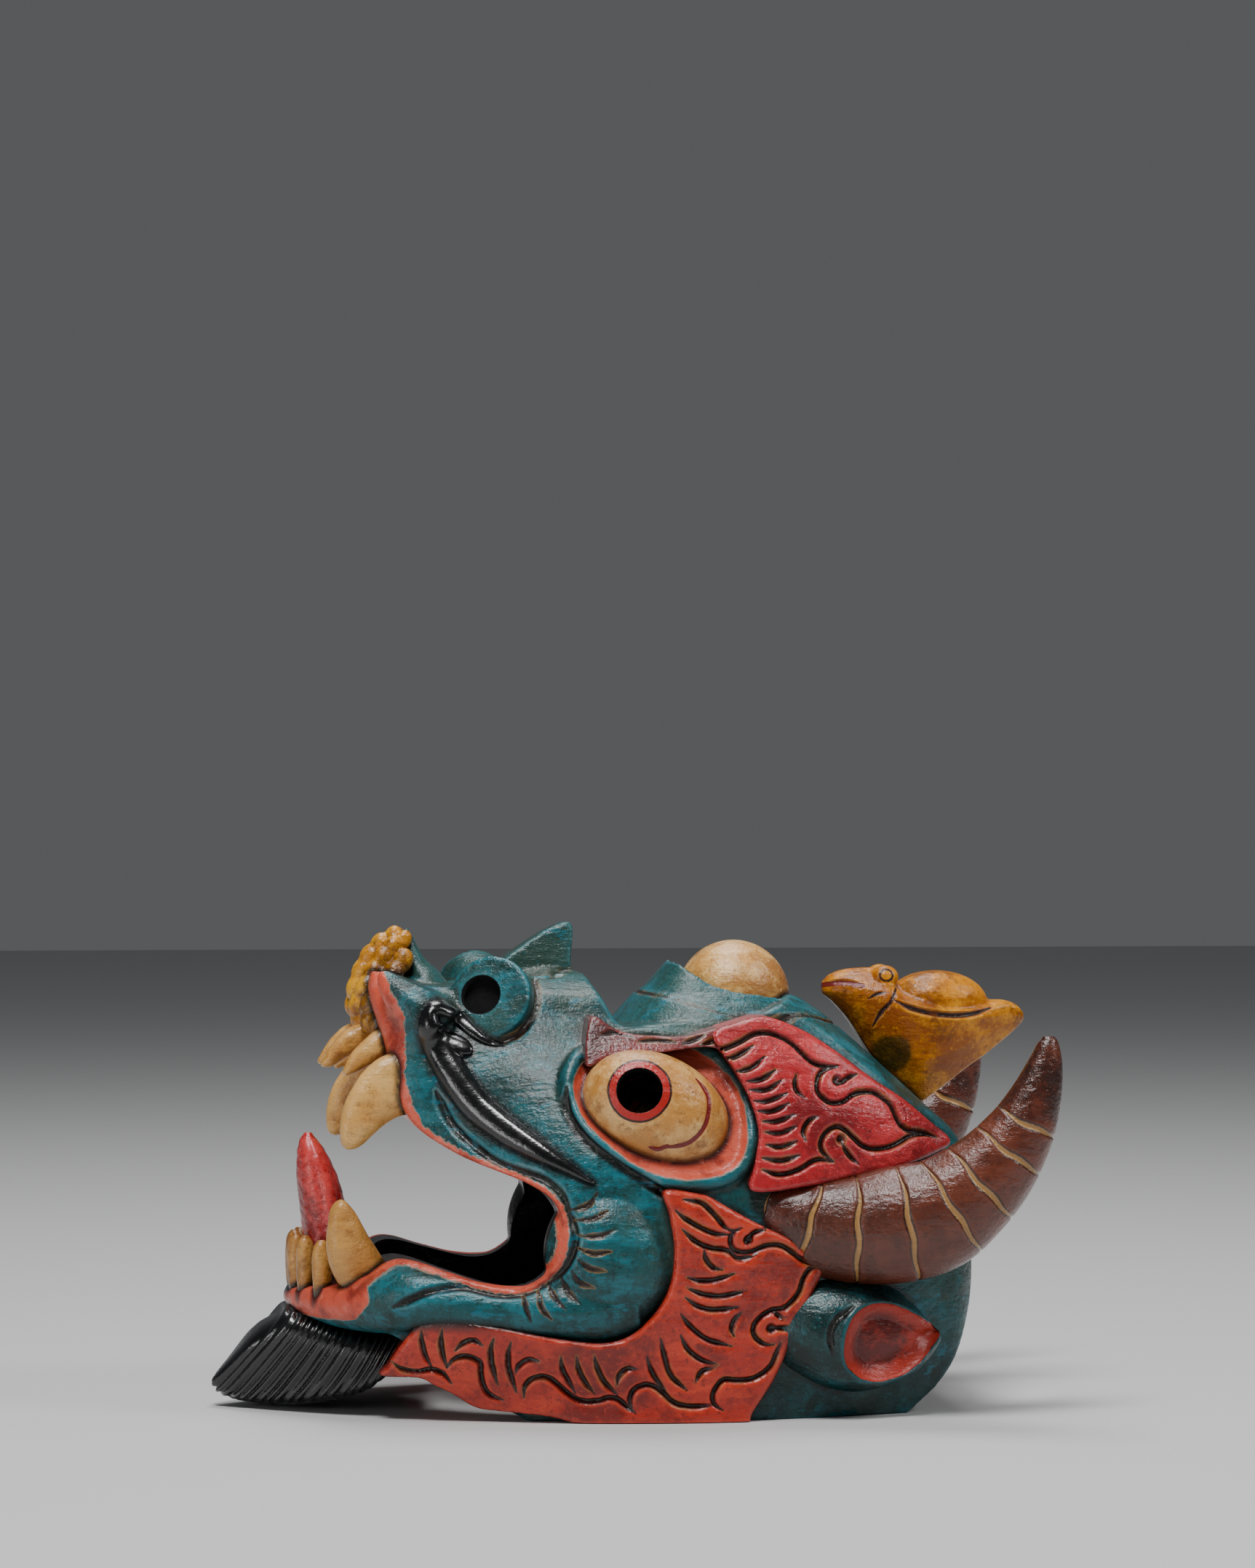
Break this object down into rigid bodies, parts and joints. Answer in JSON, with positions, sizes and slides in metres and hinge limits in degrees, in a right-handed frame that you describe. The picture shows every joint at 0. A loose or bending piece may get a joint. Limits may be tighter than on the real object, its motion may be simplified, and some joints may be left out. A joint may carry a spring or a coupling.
{
  "type": "demon mask",
  "caption": "Carved and painted wooden demon mask with open fanged mouth, curved horns, a third eye and a frog on its crown, lying face up on its open back.",
  "frame": {"origin": "under the middle of the whole mask, on the surface that it lies on", "axes": "+X from the beard to the crown, +Z the way the face looks, Y across the face"},
  "size_m": [0.3455, 0.2042, 0.2019],
  "materials": {
    "carved_head": "varnished paint",
    "horns": "varnished paint",
    "frog": "varnished paint",
    "tongue": "varnished paint",
    "teeth": "varnished paint"
  },
  "bodies": {
    "root": {"mask": "carved_head", "horn_left": "horns", "horn_right": "horns", "frog": "frog", "tongue": "tongue", "lower_fang_left": "teeth", "lower_fang_right": "teeth", "upper_fang_left": "teeth", "upper_fang_right": "teeth", "lower_incisor_left_1": "teeth", "lower_incisor_left_2": "teeth", "lower_incisor_left_3": "teeth", "lower_incisor_right_1": "teeth", "lower_incisor_right_2": "teeth", "lower_incisor_right_3": "teeth", "upper_incisor_left_1": "teeth", "upper_incisor_left_2": "teeth", "upper_incisor_right_1": "teeth", "upper_incisor_right_2": "teeth"}
  },
  "joints": []
}
